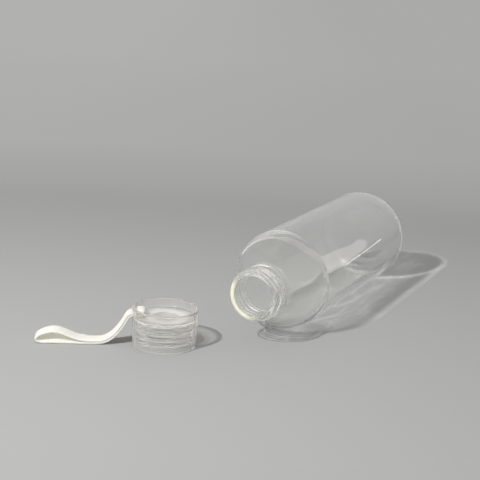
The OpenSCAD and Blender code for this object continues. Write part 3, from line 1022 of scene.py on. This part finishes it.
def key_lamp():
    """The small hard lamp from the front left. Its light doesn't fall off, so all that it reaches is lit alike."""
    data = bpy.data.lights.new("key", "AREA")
    data.shape = "DISK"
    data.size, data.energy = KEY_SIZE, 1
    data.use_nodes = True
    tree = data.node_tree
    falloff = add(tree, "ShaderNodeLightFalloff", {"Strength": KEY_LEVEL})
    tree.links.new(falloff.outputs["Constant"], tree.nodes["Emission"].inputs["Strength"])
    look = (-KEY_PLACE).to_track_quat("-Z", "Y").to_matrix().to_4x4()
    link("key", data).matrix_world = Matrix.Translation(KEY_PLACE) @ look


def strip_light(name, course, distance, level, through=False):
    """A soft strip beside or over the bottle, brighter higher up and to the left. It lights nothing. Gloss shows
    it, and so does what is seen through glass where through is set."""
    material = bpy.data.materials.new(name)
    material.use_nodes = True
    tree = material.node_tree
    tree.nodes.remove(tree.nodes["Principled BSDF"])
    place = add(tree, "ShaderNodeTexCoord").outputs["Object"]
    spot = add(tree, "ShaderNodeSeparateXYZ", {0: place}).outputs
    rise = {"Value": spot["Z"], **HIGH_SPAN, "To Min": level, "To Max": HIGH_GAIN * level}
    high = add(tree, "ShaderNodeMapRange", rise)
    left = add(tree, "ShaderNodeMapRange", {"Value": spot["X"], **LEFT_LIGHT})
    strength = add(tree, "ShaderNodeMath", {0: high, 1: left}, operation="MULTIPLY")
    show(tree, add(tree, "ShaderNodeEmission", {"Color": srgb(STRIP_COLOUR), "Strength": strength}))
    middle = LIP_CENTRE + Vector((0, BOTTLE_L / 2, 0))
    corners = []
    for azimuth, elevation in (side for pair in course for side in pair):
        a, e = math.radians(azimuth), math.radians(elevation)
        way = Vector((math.cos(a) * math.cos(e), math.sin(a) * math.cos(e), math.sin(e)))
        corners.append(middle + distance * way)
    faces = [(k, k + 1, k + 3, k + 2) for k in range(0, len(corners) - 2, 2)]
    mesh = bpy.data.meshes.new(name)
    mesh.from_pydata(corners, [], faces)
    mesh.materials.append(material)
    panel = link(name, mesh)
    panel.visible_camera = panel.visible_diffuse = panel.visible_shadow = False
    panel.visible_transmission = through


def surround():
    """An even grey surround that lights the pieces, and the one that glass and gloss show."""
    world = bpy.data.worlds.new("surround")
    world.use_nodes = True
    tree = world.node_tree
    way = add(tree, "ShaderNodeTexCoord").outputs["Generated"]
    spot = add(tree, "ShaderNodeSeparateXYZ", {0: way}).outputs
    height = add(tree, "ShaderNodeMath", {0: spot["Z"]}, operation="ABSOLUTE")
    front = add(tree, "ShaderNodeMapRange", {"Value": spot["Y"], **OPEN_SPAN})
    share = add(tree, "ShaderNodeMath", {0: height, 1: front}, operation="MAXIMUM")
    colours = {"Factor": share, "A": srgb(BACK_COLOUR), "B": srgb(OPEN_COLOUR)}
    seen = add(tree, "ShaderNodeMix", colours, data_type="RGBA")
    lighting = add(tree, "ShaderNodeLightPath").outputs["Is Diffuse Ray"]
    colours = {"Factor": lighting, "A": seen, "B": srgb(FILL_COLOUR)}
    lit = add(tree, "ShaderNodeMix", colours, data_type="RGBA")
    tree.links.new(lit.outputs["Result"], tree.nodes["Background"].inputs["Color"])
    bpy.context.scene.world = world


view_camera()

GLASS = borosilicate_glass()
CLEAR_PLASTIC = clear_copolyester()
SILICONE = white_silicone()
WEBBING = white_webbing()
LATHE = threaded_lathe()

bottle()
cap()
seal()
strap()
stop()

floor()
key_lamp()
strip_light("strip_light", STRIP_COURSE, STRIP_DISTANCE, STRIP_LEVEL)
strip_light("side_strip", SIDE_COURSE, STRIP_DISTANCE, SIDE_LEVEL)
strip_light("low_strip", LINE_COURSE, LOW_DISTANCE, LINE_LEVEL)
strip_light("strip_tail", TAIL_COURSE, LOW_DISTANCE, STRIP_LEVEL)
strip_light("top_panel", TOP_COURSE, TOP_DISTANCE, TOP_LEVEL, through=True)
surround()

bpy.context.scene.view_settings.view_transform = "Standard"
cycles = bpy.context.scene.cycles
cycles.max_bounces = cycles.transmission_bounces = cycles.glossy_bounces = BOUNCES
cycles.transparent_max_bounces = CLEAR_BOUNCES
